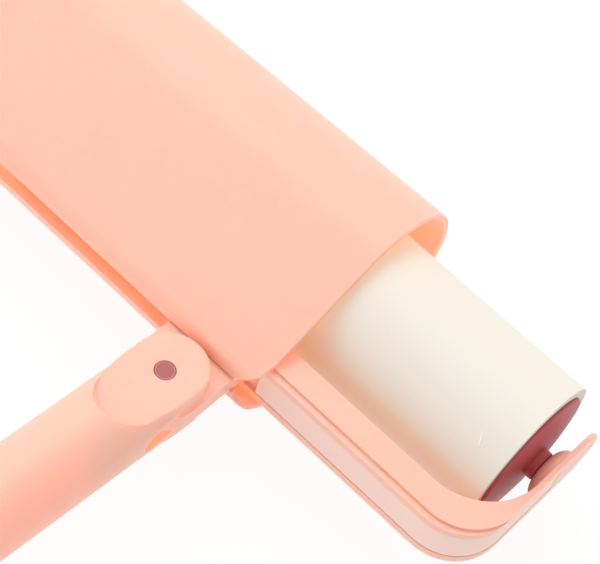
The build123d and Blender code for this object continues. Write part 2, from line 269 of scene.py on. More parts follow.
def mix_colour(tree, factor, first, second, blend="MIX"):
    """A colour Mix node; gives its output socket."""
    node = add_node(tree, "Mix", data_type="RGBA", blend_type=blend)
    sockets = (node.inputs["Factor"], node.inputs[6], node.inputs[7])
    for socket, value in zip(sockets, (factor, first, second)):
        if isinstance(value, bpy.types.NodeSocket):
            tree.links.new(value, socket)
        else:
            socket.default_value = value
    return node.outputs[2]


def clamp(tree, value):
    """Keeps a value between 0 and 1; gives its output socket."""
    node = add_node(tree, "Clamp")
    tree.links.new(value, node.inputs["Value"])
    return node.outputs["Result"]


def grey(tree, value):
    """A grey of that value; gives its output socket."""
    node = add_node(tree, "CombineColor")
    for socket in node.inputs:
        tree.links.new(value, socket)
    return node.outputs["Color"]


def seen(tree):
    """1 for light that goes to the camera straight, by gloss or through something clear, otherwise 0."""
    ray = add_node(tree, "LightPath")
    level = maths(tree, "MAXIMUM", ray.outputs["Is Camera Ray"], ray.outputs["Is Glossy Ray"])
    return maths(tree, "MAXIMUM", level, ray.outputs["Is Transmission Ray"])


# ---------------------------------------------------------------- shared effects
def moulded_surface():
    """Node group: moulded grain, slow colour drift, slightly polished edges and a painted highlight that
    makes the edges paler.
    """
    group = new_group(
        "Moulded surface",
        {
            "Colour": ("NodeSocketColor", None),
            "Roughness": ("NodeSocketFloat", 0.4),
            "Grain": ("NodeSocketFloat", 900.0),
            "Grain height": ("NodeSocketFloat", 0.05),
            "Drift": ("NodeSocketFloat", 0.03),
            "Edge radius": ("NodeSocketFloat", 0.0004),
        },
        {"Colour": "NodeSocketColor", "Roughness": "NodeSocketFloat", "Normal": "NodeSocketVector"},
    )
    edge_gain, edge_highlight, edge_polish = 3.0, 0.12, 0.08
    drift_roughness = 0.12
    pale = (1.0, 0.92, 0.88, 1.0)
    coords = add_node(group, "TexCoord")
    given = group.nodes.new("NodeGroupInput")
    out = group.nodes.new("NodeGroupOutput")
    fine = add_node(group, "TexNoise", values=(("Detail", 4.0), ("Roughness", 0.6)))
    slow = add_node(group, "TexNoise", values=(("Scale", 22.0), ("Detail", 2.0)))
    rounded = add_node(group, "Bevel", samples=6)
    surface = add_node(group, "NewGeometry")
    facing = add_node(group, "VectorMath", operation="DOT_PRODUCT")
    bump = add_node(group, "Bump", values=(("Distance", 0.0001),))
    link = group.links.new
    link(coords.outputs["Object"], fine.inputs["Vector"])
    link(coords.outputs["Object"], slow.inputs["Vector"])
    link(given.outputs["Grain"], fine.inputs["Scale"])
    link(given.outputs["Edge radius"], rounded.inputs["Radius"])
    link(rounded.outputs["Normal"], facing.inputs[0])
    link(surface.outputs["Normal"], facing.inputs[1])
    edge = maths(group, "SUBTRACT", 1.0, facing.outputs["Value"])
    edge = clamp(group, maths(group, "MULTIPLY", edge, edge_gain))
    drift = maths(group, "SUBTRACT", slow.outputs[0], 0.5)
    shade = maths(group, "MULTIPLY", drift, given.outputs["Drift"])
    shade = maths(group, "ADD", shade, 1.0)
    tinted = mix_colour(group, 1.0, given.outputs["Colour"], grey(group, shade), "MULTIPLY")
    # Painted highlight: the edges are mixed a little towards a pale tint.
    highlighted = mix_colour(group, edge_highlight, tinted, pale)
    link(mix_colour(group, edge, tinted, highlighted), out.inputs["Colour"])
    rough = maths(group, "ADD", given.outputs["Roughness"], maths(group, "MULTIPLY", drift, drift_roughness))
    rough = maths(group, "SUBTRACT", rough, maths(group, "MULTIPLY", edge, edge_polish))
    link(rough, out.inputs["Roughness"])
    link(given.outputs["Grain height"], bump.inputs["Strength"])
    link(fine.outputs[0], bump.inputs["Height"])
    link(rounded.outputs["Normal"], bump.inputs["Normal"])
    link(bump.outputs["Normal"], out.inputs["Normal"])
    return group


def inner_wall():
    """Node group: how far a point lies on a wall that faces an axis, which runs where Across is 0; it places
    the painted glow.
    """
    group = new_group(
        "Inner wall",
        {
            "Axis": ("NodeSocketVector", None),
            "Across": ("NodeSocketVector", (0.0, 1.0, 1.0)),
            "Near": ("NodeSocketFloat", 0.008),
        },
        {"Inside": "NodeSocketFloat"},
    )
    coords = add_node(group, "TexCoord")
    given = group.nodes.new("NodeGroupInput")
    out = group.nodes.new("NodeGroupOutput")
    away = add_node(group, "VectorMath", operation="SUBTRACT")
    flat = add_node(group, "VectorMath", operation="MULTIPLY")
    facing = add_node(group, "VectorMath", operation="DOT_PRODUCT")
    share = add_node(group, "MapRange")
    link = group.links.new
    link(given.outputs["Across"], flat.inputs[1])
    link(maths(group, "MULTIPLY", given.outputs["Near"], -1.0), share.inputs["From Min"])
    link(maths(group, "MULTIPLY", given.outputs["Near"], -2.0), share.inputs["From Max"])
    link(coords.outputs["Object"], away.inputs[0])
    link(given.outputs["Axis"], away.inputs[1])
    link(away.outputs["Vector"], flat.inputs[0])
    link(flat.outputs["Vector"], facing.inputs[0])
    link(coords.outputs["Normal"], facing.inputs[1])
    link(facing.outputs["Value"], share.inputs["Value"])
    link(share.outputs["Result"], out.inputs["Inside"])
    return group


# ---------------------------------------------------------------- materials
def new_material(name):
    """A material with its Principled shader, as (material, tree, shader)."""
    material = bpy.data.materials.new(name)
    material.use_nodes = True
    return material, material.node_tree, material.node_tree.nodes["Principled BSDF"]


def moulded_plastic(
    name, colour, roughness, grain_height=0.05, drift=0.03, glow=0.0, gloss=0.5, edge_scale=1.0,
    inside=0.0, axis=None, across=(0.0, 1.0, 1.0), near=0.008,
):
    """Moulded plastic of that colour and roughness.

    Glow is how far light travels under its skin. Inside is the strength of a painted glow: emission on its
    inner wall, which faces the axis and is farther than near from it, that stands in for light coming through
    the plastic.
    The axis runs where across is 0.
    """
    plastic = bpy.context.scene.lint_plastic
    material, tree, shader = new_material(name)
    group = add_node(tree, "Group")
    group.node_tree = bpy.data.node_groups.get("Moulded surface") or moulded_surface()
    group.inputs["Colour"].default_value = (*colour, 1.0)
    group.inputs["Roughness"].default_value = roughness
    group.inputs["Grain"].default_value = 1.0 / plastic.grain_size
    group.inputs["Grain height"].default_value = grain_height
    group.inputs["Drift"].default_value = drift
    group.inputs["Edge radius"].default_value = plastic.edge_radius * edge_scale
    for label, socket in (("Colour", "Base Color"), ("Roughness", "Roughness"), ("Normal", "Normal")):
        tree.links.new(group.outputs[label], shader.inputs[socket])
    shader.inputs["Subsurface Weight"].default_value = 1.0 if glow else 0.0
    shader.inputs["Subsurface Radius"].default_value = plastic.spread
    shader.inputs["Subsurface Scale"].default_value = glow
    shader.inputs["Specular IOR Level"].default_value = gloss
    # Painted glow: the inner wall emits the colour of light through the plastic; other rays get all of it,
    # the camera only the seen share.
    if inside:
        wall = add_node(tree, "Group")
        wall.node_tree = bpy.data.node_groups.get("Inner wall") or inner_wall()
        wall.inputs["Axis"].default_value = axis or roll_centre()
        wall.inputs["Across"].default_value = across
        wall.inputs["Near"].default_value = near
        ray = add_node(tree, "LightPath")
        full = (*plastic.through, 1.0)
        dimmed = (*(plastic.seen_glow_share * c for c in plastic.through), 1.0)
        light = mix_colour(tree, ray.outputs["Is Camera Ray"], full, dimmed)
        light = mix_colour(tree, wall.outputs["Inside"], (0.0, 0.0, 0.0, 1.0), light)
        tree.links.new(light, shader.inputs["Emission Color"])
        shader.inputs["Emission Strength"].default_value = inside
    return material


def paper(name, colour, roughness, pitch=0.0):
    """Uncoated paper with a faint mottle and a fine tooth; where pitch is given, its turns show as rings."""
    settings = bpy.context.scene.lint_paper
    material, tree, shader = new_material(name)
    mottle, seam_shade, seam_level = 0.94, 0.72, 0.2
    coords = add_node(tree, "TexCoord")
    fibre = add_node(
        tree, "TexNoise", values=(("Scale", 1.0 / settings.fibre_size), ("Detail", 6.0), ("Roughness", 0.65))
    )
    bump = add_node(tree, "Bump", values=(("Strength", 0.12), ("Distance", 0.0001)))
    tree.links.new(coords.outputs["Object"], fibre.inputs["Vector"])
    deeper = (*(mottle * c for c in colour), 1.0)
    shade = mix_colour(tree, clamp(tree, fibre.outputs[0]), deeper, (*colour, 1.0))
    if pitch:
        away = add_node(tree, "VectorMath", operation="SUBTRACT")
        away.inputs[1].default_value = roll_centre()
        flat = add_node(tree, "VectorMath", operation="MULTIPLY")
        flat.inputs[1].default_value = (0.0, 1.0, 1.0)
        radius = add_node(tree, "VectorMath", operation="LENGTH")
        tree.links.new(coords.outputs["Object"], away.inputs[0])
        tree.links.new(away.outputs["Vector"], flat.inputs[0])
        tree.links.new(flat.outputs["Vector"], radius.inputs[0])
        turns = maths(tree, "SINE", maths(tree, "MULTIPLY", radius.outputs["Value"], 2.0 * math.pi / pitch))
        seam = clamp(tree, maths(tree, "SUBTRACT", turns, seam_level))
        shade = mix_colour(tree, seam, shade, (*(seam_shade * c for c in colour), 1.0))
    tree.links.new(shade, shader.inputs["Base Color"])
    tree.links.new(fibre.outputs[0], bump.inputs["Height"])
    tree.links.new(bump.outputs["Normal"], shader.inputs["Normal"])
    shader.inputs["Roughness"].default_value = roughness
    return material


def dress(node, material):
    """Gives a CAD node its finish."""
    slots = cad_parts[node].data.materials
    slots.clear()
    slots.append(material)


# ---------------------------------------------------------------- shapes
def arc(centre, radius, start, end, steps=24):
    """Points on an arc in a plane, its angles in degrees, both ends included."""
    turns = [math.radians(start + (end - start) * k / steps) for k in range(steps + 1)]
    return [(centre[0] + radius * math.cos(t), centre[1] + radius * math.sin(t)) for t in turns]


def mirror(points):
    """The same points on the other side of the second axis, in reverse order."""
    return [(-a, b) for a, b in reversed(points)]


def new_piece(name, points, faces):
    """An object from points and faces, its faces turned outwards."""
    mesh = bpy.data.meshes.new(name)
    mesh.from_pydata(points, [], faces)
    shape = bmesh.new()
    shape.from_mesh(mesh)
    bmesh.ops.remove_doubles(shape, verts=shape.verts, dist=1e-7)
    bmesh.ops.recalc_face_normals(shape, faces=shape.faces)
    shape.to_mesh(mesh)
    shape.free()
    piece = bpy.data.objects.new(name, mesh)
    bpy.context.scene.collection.objects.link(piece)
    return piece


def stack(name, rings, place):
    """A solid from rings of as many points each, (a, b, c) in the plane's own axes, closed at both ends."""
    count = len(rings[0])
    points = [place @ Vector(point) for ring in rings for point in ring]
    faces = [tuple(range(count)), tuple((len(rings) - 1) * count + k for k in range(count))]
    for row in range(len(rings) - 1):
        for k in range(count):
            near, far = row * count + k, row * count + (k + 1) % count
            faces.append((near, far, far + count, near + count))
    return new_piece(name, points, faces)


def lathe(name, profile, turns, side, place):
    """A ring-shaped solid: a closed profile of (distance, radius) points turned round the third axis."""
    count = len(profile)
    points, faces = [], []
    for row in range(turns):
        turn = math.radians(360.0 / turns * row)
        points += [place @ Vector((r * math.cos(turn), r * math.sin(turn), side * x)) for x, r in profile]
        start, after = row * count, (row + 1) % turns * count
        for k in range(count):
            following = (k + 1) % count
            faces.append((start + k, start + following, after + following, after + k))
    return new_piece(name, points, faces)


def prism(name, outline, low, high, place):
    """A straight solid over an outline, from low to high along the plane's third axis."""
    return stack(name, [[(*point, level) for point in outline] for level in (low, high)], place)


def carve(piece, tool, operation):
    """Joins the tool to the piece (UNION), cuts it away (DIFFERENCE) or keeps what they share (INTERSECT)."""
    change = piece.modifiers.new("Carve", "BOOLEAN")
    change.operation = operation
    change.object = tool
    change.solver = "EXACT"
    bpy.context.view_layer.update()
    shape = bpy.data.meshes.new_from_object(piece.evaluated_get(bpy.context.evaluated_depsgraph_get()))
    piece.modifiers.remove(change)
    piece.data = shape
    bpy.data.objects.remove(tool)
    if not len(shape.polygons):
        raise RuntimeError(f"{piece.name}: nothing is left after {operation}")


def soften(piece, angle=28.0, width=0.0):
    """Smooth shading inside curved faces; the edges between them are kept, or rounded to that width."""
    shape = bmesh.new()
    shape.from_mesh(piece.data)
    bmesh.ops.dissolve_degenerate(shape, edges=shape.edges, dist=1e-6)
    for face in shape.faces:
        face.smooth = True
    for edge in shape.edges:
        edge.smooth = len(edge.link_faces) == 2 and edge.calc_face_angle() < math.radians(angle)
    shape.to_mesh(piece.data)
    shape.free()
    if width:
        rounded = piece.modifiers.new("Soft edges", "BEVEL")
        rounded.limit_method = "ANGLE"
        rounded.angle_limit = math.radians(angle + 6.0)
        rounded.width = width
        rounded.segments = 2
    weighted = piece.modifiers.new("Even shading", "WEIGHTED_NORMAL")
    weighted.keep_sharp = True


def stand_in(piece, node, body, material, width=0.0):
    """Finishes a piece that stands for a CAD node and rides on that node's body."""
    soften(piece, width=width)
    piece.data.materials.clear()
    piece.data.materials.append(material)
    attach(piece, body)
    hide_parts(node)


def roll_centre():
    """The middle of the refill roll."""
    low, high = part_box("adhesive_roll")
    return (low + high) / 2


def in_plan():
    """Plane parallel to the ground through the roll's centre: +X, +Y, +Z."""
    return Matrix.Translation(roll_centre())


def along_roll():
    """Plane across the roll through its centre: +Y, +Z, +X."""
    turned = Matrix(((0, 0, 1, 0), (1, 0, 0, 0), (0, 1, 0, 0), (0, 0, 0, 1)))
    return Matrix.Translation(roll_centre()) @ turned


def at_hinge():
    """Plane parallel to the ground through the hinge pin, its -Y down the handle."""
    low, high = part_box("hinge_pin")
    pin = Vector(((low.x + high.x) / 2, (low.y + high.y) / 2, roll_centre().z))
    low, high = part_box("end_cap")
    cap = (low + high) / 2
    turn = math.atan2(cap.x - pin.x, pin.y - cap.y)
    return Matrix.Translation(pin) @ Matrix.Rotation(turn, 4, "Z")


# ---------------------------------------------------------------- operators
class LINT_OT_cover(Operator):
    """Make and finish the sliding cover"""

    bl_idname = "lint.cover"
    bl_label = "Cover"

    def execute(self, context):
        plastic, size = context.scene.lint_plastic, context.scene.lint_shape
        centre = roll_centre()
        low, high = (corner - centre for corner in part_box("cover"))
        self.size, self.low, self.high = size, low, high
        self.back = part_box("trim_strip_left")[0].y - centre.y
        rim = self.rim(size.rim_radius, size.cover_wall)
        insets = sorted({inset for end, drop, inset in rim})
        ends = (size.cover_draft, 0.0)
        sections = {inset: [self.section(shrink, inset) for shrink in ends] for inset in insets}
        place = Matrix.Translation(centre)
        rings = []
        for k in range(len(sections[0.0][0])):
            far_y, mouth_y = sections[0.0][0][k][0], sections[0.0][1][k][0]
            start, stop = low.x + self.cut(far_y), high.x - self.cut(mouth_y)
            ring = []
            for along, drop, inset in rim:
                x = start + along * (stop - start) + (drop if along < 0.5 else -drop)
                share = (x - low.x) / (high.x - low.x)
                far, mouth = sections[inset][0][k], sections[inset][1][k]
                ring.append((x, far[0] + share * (mouth[0] - far[0]), far[1] + share * (mouth[1] - far[1])))
            rings.append(ring)
        # The cover's inner wall carries a painted glow for light through its wall.
        peach = moulded_plastic(
            "Cover peach", plastic.peach, plastic.satin, glow=plastic.shell_glow, inside=plastic.shell_painted_glow
        )
        stand_in(stack("cover_shell", rings, place), "cover", "cover", peach)
        return {"FINISHED"}

    def rim(self, radius, wall):
        """The wall cut along its length: (share of the length, distance from that end, depth in the wall)."""
        turns = (0, 0.4, 0.8, 1.2, math.pi / 2)
        soft = [(radius * (1 - math.sin(t)), radius * (1 - math.cos(t))) for t in turns]
        mouth = [(1.0, drop, inset) for drop, inset in soft]
        mouth += [(1.0, drop, wall - inset) for drop, inset in reversed(soft)]
        far = [(0.0, drop, inset) for along, drop, inset in reversed(mouth)]
        shares = [k / 16 for k in range(1, 16)]
        return mouth + [(1 - k, 0.0, wall) for k in shares] + far + [(k, 0.0, 0.0) for k in shares]

    def cut(self, y):
        """How far the rounded corner beside the slot draws the rim back at that y."""
        radius = self.size.cover_corner
        deep = min(max(self.low.y + radius - y, 0.0), radius)
        return radius - math.sqrt(radius * radius - deep * deep)

    def section(self, shrink, inset):
        """The teardrop across the roll as (y, z) points, from the slot over the crown and back to it."""
        size = self.size
        rise = size.cover_rise - shrink
        radius = self.high.z - shrink
        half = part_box("cradle")[1].z - roll_centre().z
        corner = self.back + size.ledge_width - rise
        inner = radius - size.cover_wall - size.cover_gap
        slope = math.asin(inner / math.hypot(corner, half)) - math.atan2(half, -corner)
        radius -= inset
        bend = size.lip_radius - inset
        lip = self.low.y + inset
        reach = radius + rise * -math.sin(slope)
        middle = (lip + bend, (reach - bend + math.sin(slope) * (lip + bend)) / math.cos(slope))
        half_turn = 90.0 + math.degrees(slope)
        foot = [(lip, size.slot_half + (middle[1] - size.slot_half) * k / 4) for k in range(4)]
        fillet = arc(middle, bend, 180.0, half_turn, 12)
        crown = arc((rise, 0.0), radius, half_turn, 0.0, 48)
        flank = [tuple(a + (b - a) * k / 8 for a, b in zip(fillet[-1], crown[0])) for k in range(1, 8)]
        side = foot + fillet + flank + crown
        return side + [(y, -z) for y, z in reversed(side[:-1])]


class LINT_OT_cradle(Operator):
    """Make and finish the cradle and the band round its back"""

    bl_idname = "lint.cradle"
    bl_label = "Cradle and trim"

    def execute(self, context):
        plastic, size = context.scene.lint_plastic, context.scene.lint_shape
        centre = roll_centre()
        low, high = (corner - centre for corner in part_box("cradle"))
        self.size, self.out, self.half, self.tip = size, high.x, high.z, high.y
        self.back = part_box("trim_strip_left")[0].y - centre.y
        self.pin = at_hinge().translation - centre
        cradle = self.body()
        self.bosses(cradle)
        self.neck(cradle)
        # The cradle's inner faces carry a painted glow for light through the plastic.
        peach = moulded_plastic(
            "Cradle peach", plastic.peach, plastic.satin - 0.06,
            glow=plastic.solid_glow, inside=plastic.solid_painted_glow,
        )
        stand_in(cradle, "cradle", "cradle", peach, size.cradle_edge)
        # The band's paler peach is painted light on the cradle's back.
        trim = moulded_plastic("Trim peach", plastic.band_peach_painted_lit, plastic.satin + 0.1, glow=plastic.trim_glow)
        for side, hand in ((-1, "left"), (1, "right")):
            stand_in(self.band(side, hand), f"trim_strip_{hand}", "cradle", trim)
        return {"FINISHED"}

    def outside(self, inset, top=None, shift=0.0):
        """The outline's right half from the middle of the back to the top of the arm, drawn in by inset."""
        radius = self.size.back_corner
        corner = (self.out - radius, self.back + radius + shift)
        side = [(0.0, self.back + inset + shift)] + arc(corner, radius - inset, -90.0, 0.0)
        return side + [(self.out - inset, self.tip + 2 * past if top is None else top)]

    def body(self):
        """Spine, corners and arms, with the ledge and the channel round the back."""
        size, tall = self.size, self.half + past
        arm_in = self.out - size.arm_leaf
        front = self.back + size.spine_depth
        corner = (arm_in - size.bay_corner, front + size.bay_corner)
        bay = [(0.0, front)] + arc(corner, size.bay_corner, -90.0, 0.0)
        bay.append((arm_in, self.tip + 2 * past))
        half = self.outside(0.0)[1:] + list(reversed(bay[1:]))
        cradle = prism("cradle_body", mirror(half) + half, -self.half, self.half, in_plan())
        # Shares of the arm's thickness, and how many millimetres its round tip is drawn in there.
        soft = [(0.0, 0.55), (0.1, 0.28), (0.25, 0.08), (0.5, 0.0)]
        soft += [(0.75, 0.08), (0.9, 0.28), (1.0, 0.55), (1.5, 0.55)]
        across = [(self.out - share * size.arm_leaf, draw * mm) for share, draw in soft]
        rings = []
        for x, draw in across + [(-x, draw) for x, draw in reversed(across)]:
            tip = [
                (self.tip - self.half + (self.half - draw * c) * c, (self.half - draw * c) * s)
                for c, s in arc((0.0, 0.0), 1.0, -90.0, 90.0, 40)
            ]
            ring = [(self.back - past, -self.half)] + tip + [(self.back - past, self.half)]
            rings.append([(y, z, x) for y, z in ring])
        carve(cradle, stack("ends", rings, along_roll()), "INTERSECT")
        for face in (-1, 1):
            ledge = self.outside(-skim, 0.0) + list(reversed(self.outside(0.0, 0.0, size.ledge_width)))
            ledge = ledge[1:-1]
            tread = face * (self.half - size.ledge_drop)
            carve(cradle, prism("ledge", mirror(ledge) + ledge, tread, face * tall, in_plan()), "DIFFERENCE")
        channel = self.outside(-skim, 0.0)[1:] + list(reversed(self.outside(size.band_depth, 0.0)[1:]))
        groove = prism("channel", mirror(channel) + channel, -size.band_half, size.band_half, in_plan())
        carve(cradle, groove, "DIFFERENCE")
        return cradle

    def bosses(self, cradle):
        """The sloped boss and the axle inside each arm."""
        size = self.size
        root = self.out - size.arm_leaf
        top = root - size.boss_height
        # Shares of the boss's height and of its radius, from its foot to its top.
        dome = [(0.0, 1.0), (0.3, 0.97), (0.5, 0.91), (0.7, 0.82), (0.85, 0.72), (0.95, 0.62), (1.0, 0.54)]
        bell = [(root + 0.5 * mm, size.boss_radius)]
        bell += [(root - rise * size.boss_height, share * size.boss_radius) for rise, share in dome]
        bell += [(top, size.axle_radius), (top - size.axle_reach, size.axle_radius)]
        for side in (-1, 1):
            rings = []
            for x, radius in bell:
                rings.append([(*point, side * x) for point in arc((0.0, 0.0), radius, 0.0, 357.5, 143)])
            carve(cradle, stack("boss", rings, along_roll()), "UNION")

    def neck(self, cradle):
        """The flat neck that carries the hinge pin."""
        size, pin = self.size, self.pin.y
        root, width = size.neck_root, size.neck_width
        side = arc((0.0, pin), width, -90.0, 0.0) + [(width, self.back - root)]
        side += arc((width + root, self.back + size.band_depth - root), root, 180.0, 90.0, 10)[1:]
        side += [(width + root, self.back + size.band_depth + past)]
        outline = mirror(side[1:]) + side
        carve(cradle, prism("neck", outline, -size.neck_half, size.neck_half, in_plan()), "UNION")
        bore = arc((0.0, pin), size.pin_bore, 0.0, 355.0, 71)
        carve(cradle, prism("bore", bore, -10 * mm, 10 * mm, in_plan()), "DIFFERENCE")

    def band(self, side, hand):
        """The band in the channel: along the back, round one corner and up the arm, with soft edges."""
        size = self.size
        start = size.neck_width + size.neck_root + size.band_gap
        high, deep, bend = size.band_half - size.band_slack, size.band_depth - size.band_slack, size.band_edge
        cut = [(deep, -high), (deep, high)]
        edge = arc((size.band_recess + bend, high - bend), bend, 90.0, 180.0, 6)
        cut += edge + [(inset, -z) for inset, z in reversed(edge)]
        rings = []
        for k in range(len(self.outside(0.0))):
            ring = []
            for inset, z in cut:
                x, y = self.outside(inset, -size.band_shift)[k]
                ring.append((side * (x or start), y, z))
            rings.append(ring)
        return stack(f"band_{hand}", rings, in_plan())


class LINT_OT_handle(Operator):
    """Make and finish the handle, and finish its end cap"""

    bl_idname = "lint.handle"
    bl_label = "Handle and end cap"

    def execute(self, context):
        plastic, self.size = context.scene.lint_plastic, context.scene.lint_shape
        grip = self.grip()
        for face in (-1, 1):
            carve(grip, self.cheek(face), "UNION")
            self.bore(grip, face)
        # The handle's inner faces and window carry a painted glow for light through the plastic.
        peach = moulded_plastic(
            "Handle peach", plastic.peach, plastic.satin, glow=plastic.solid_glow, inside=plastic.grip_painted_glow,
            axis=at_hinge().translation, across=(1.0, 0.0, 1.0), near=0.0018,
        )
        stand_in(grip, "handle", "handle", peach)
        satin = plastic.satin - 0.04
        dress("end_cap", moulded_plastic("End cap peach", plastic.peach, satin, glow=plastic.solid_glow))
        return {"FINISHED"}

    def outline(self, inset, waist, reach):
        """The fork from above, round beyond the pin. Waist is its half width at reach behind the pin."""
        width = self.size.cheek_width
        tip = arc((0.0, self.size.cheek_reach - width), width - inset, 0.0, 180.0, 48)
        bend = -self.size.cheek_shoulder
        left = [(inset - width, bend), (inset - waist, inset - reach)]
        return tip + left + [(waist - inset, inset - reach), (width - inset, bend)]

    def grip(self):
        """The CAD handle, drawn in at the fork."""
        shape = bmesh.new()
        shape.from_mesh(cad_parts["handle"].data)
        bmesh.ops.remove_doubles(shape, verts=shape.verts, dist=1e-6)
        mesh = bpy.data.meshes.new("grip")
        shape.to_mesh(mesh)
        shape.free()
        if "custom_normal" in mesh.attributes:
            mesh.attributes.remove(mesh.attributes["custom_normal"])
        grip = bpy.data.objects.new("grip", mesh)
        bpy.context.scene.collection.objects.link(grip)
        size = self.size
        fork = self.outline(0.0, size.fork_waist, size.fork_tail)
        # Round the rest of the handle the shape that is kept is a plain rectangle, wider and longer than it.
        wide, near, far, tall = 15 * mm, size.fork_tail + past, 140 * mm, 20 * mm
        fork[-2:-2] = [(-wide, -near), (-wide, -far), (wide, -far), (wide, -near)]
        carve(grip, prism("fork", fork, -tall, tall, at_hinge()), "INTERSECT")
        return grip

    def cheek(self, face):
        """A tongue with softened edges that lies on the fork."""
        size = self.size
        proud = 0.02 * mm
        sides = self.outline(0.0, size.cheek_waist, size.cheek_tail)
        rings = [[(*point, face * size.fork_gap) for point in sides]]
        for k in range(7):
            turn = math.pi / 12 * k
            inset = size.cheek_edge * (1 - math.cos(turn))
            rise = size.cheek_half + proud - size.cheek_edge * (1 - math.sin(turn))
            sides = self.outline(inset, size.cheek_waist, size.cheek_tail)
            rings.append([(*point, face * rise) for point in sides])
        return stack("cheek", rings, at_hinge())

    def bore(self, grip, face):
        """The bores for the pin's shaft and for its head on one side."""
        size = self.size
        start, end = 1 * mm, 9 * mm
        for radius, floor in ((size.pin_bore, start), (size.head_bore, size.head_floor)):
            hole = arc((0.0, 0.0), radius, 0.0, 355.0, 71)
            carve(grip, prism("bore", hole, face * floor, face * end, at_hinge()), "DIFFERENCE")


class LINT_OT_hinge(Operator):
    """Finish the hinge pin, its cap and the washers"""

    bl_idname = "lint.hinge"
    bl_label = "Hinge"

    def execute(self, context):
        plastic = context.scene.lint_plastic
        rose = moulded_plastic("Pin rose", plastic.rose, 0.38, edge_scale=0.6)
        nylon = moulded_plastic("Washer nylon", plastic.nylon, 0.5, edge_scale=0.4)
        dress("hinge_pin", rose)
        dress("pin_cap", rose)
        for place in ("lower", "upper"):
            dress(f"washer_{place}", nylon)
        # The ring's paler rose is a painted highlight on the pin's heads.
        ring_highlight = moulded_plastic("Ring rose", plastic.rose_highlight, 0.3, edge_scale=0.3)
        size = context.scene.lint_shape
        low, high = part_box("hinge_pin")
        top = high.z - roll_centre().z
        sunk, thick = 0.00015, 0.00024
        profile = [(top - sunk + z, r) for r, z in arc((size.pin_ring, 0.0), thick, 0.0, 330.0, 11)]
        for face, place in ((-1, "lower"), (1, "upper")):
            ring = lathe(f"pin_ring_{place}", profile, 96, face, at_hinge())
            soften(ring, 60.0)
            ring.data.materials.append(ring_highlight)
            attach(ring, "handle")
        return {"FINISHED"}


class LINT_OT_roll(Operator):
    """Finish the refill roll and its end plugs"""

    bl_idname = "lint.roll"
    bl_label = "Refill roll"

    def execute(self, context):
        plastic, sheets = context.scene.lint_plastic, context.scene.lint_paper
        cream = paper("Sheet paper", sheets.sheet, 0.5)
        dress("outer_sheet", cream)
        dress("adhesive_roll", paper("Wound paper", sheets.sheet, 0.6, sheets.turn))
        dress("card_core", paper("Core card", sheets.card, 0.75, 2.0 * sheets.turn))
        self.nick(sheets)
        wine = moulded_plastic("Plug wine", plastic.wine, 0.42, grain_height=0.02, gloss=0.15)
        for side, hand in ((-1, "left"), (1, "right")):
            plug = self.plug(side, hand, context.scene.lint_shape)
            stand_in(plug, f"end_plug_{hand}", "roll", wine)
        return {"FINISHED"}

    def nick(self, sheets):
        """A small nick whose lip stands off the outer sheet near the roll's end; the lip's near-white colour
        is a painted glint.
        """
        low, high = (corner - roll_centre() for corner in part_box("outer_sheet"))
        pieces, first, sweep = 12, 130.5, 10.0  # the two angles are degrees round the roll
        from_end, lean = 10.1 * mm, 1.7 * mm
        rooted, lifted = 0.02 * mm, 0.16 * mm
        outer, inner = [], []
        for k in range(pieces + 1):
            share = k / pieces
            turn = math.radians(first + sweep * share)
            along = high.x - from_end + lean * share
            swell = math.sin(math.pi * share)
            for side, reach, rise in ((outer, 0.0, rooted), (inner, sheets.nick, lifted)):
                radius = high.y + rise * swell
                side.append((along + reach * swell, radius * math.cos(turn), radius * math.sin(turn)))
        place = in_plan()
        points = [place @ Vector(point) for point in outer + inner]
        faces = [(k, k + 1, pieces + 2 + k, pieces + 1 + k) for k in range(pieces)]
        lip = new_piece("sheet_nick", points, faces)
        soften(lip)
        thick = lip.modifiers.new("Sheet", "SOLIDIFY")
        thick.thickness = 0.08 * mm
        thick.offset = 0.0
        # Painted glint: the lip is coloured nearly white, far paler than the sheet.
        lip.data.materials.append(paper("Nick paper", sheets.nick_glint, 0.4))
        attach(lip, "roll")

    def plug(self, side, hand, size):
        """A cup in the core's end with a thin domed flange and a short hub."""
        low, high = (corner - roll_centre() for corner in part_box("adhesive_roll"))
        end, face = high.x, high.x + size.plug_edge
        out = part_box("cradle")[1].x - roll_centre().x - size.arm_leaf - size.boss_height - size.plug_gap
        bore, hub, cup, soft = size.axle_radius + seat, size.plug_hub, size.plug_cup, size.flange_edge
        sleeve, web, foot = end - size.plug_sleeve, end - size.plug_wall, end - size.cup_depth
        profile = [(out, bore), (sleeve, bore), (sleeve, hub), (web, hub), (web, cup - size.plug_wall)]
        profile += [(foot, cup - size.plug_wall), (foot, cup)]
        profile += [(end + seat, cup), (end + seat, size.plug_flange)]
        rim = size.plug_flange - soft
        profile += [(face - soft + y, rim + x) for x, y in arc((0, 0), soft, 0.0, 90.0, 4)]
        for k in range(1, 13):
            share = k / 12
            swell = size.plug_dome * (1 - (1 - share) ** 1.6)
            profile.append((face + swell, rim + share * (hub + 0.8 * mm - rim)))
        root = face + size.plug_dome
        profile += [(root + 0.2 * mm, hub + 0.3 * mm), (root + 0.6 * mm, hub)]
        profile += [(out - 0.3 * mm, hub), (out, hub - 0.3 * mm)]
        return lathe(f"plug_{hand}", profile, 144, side, along_roll())


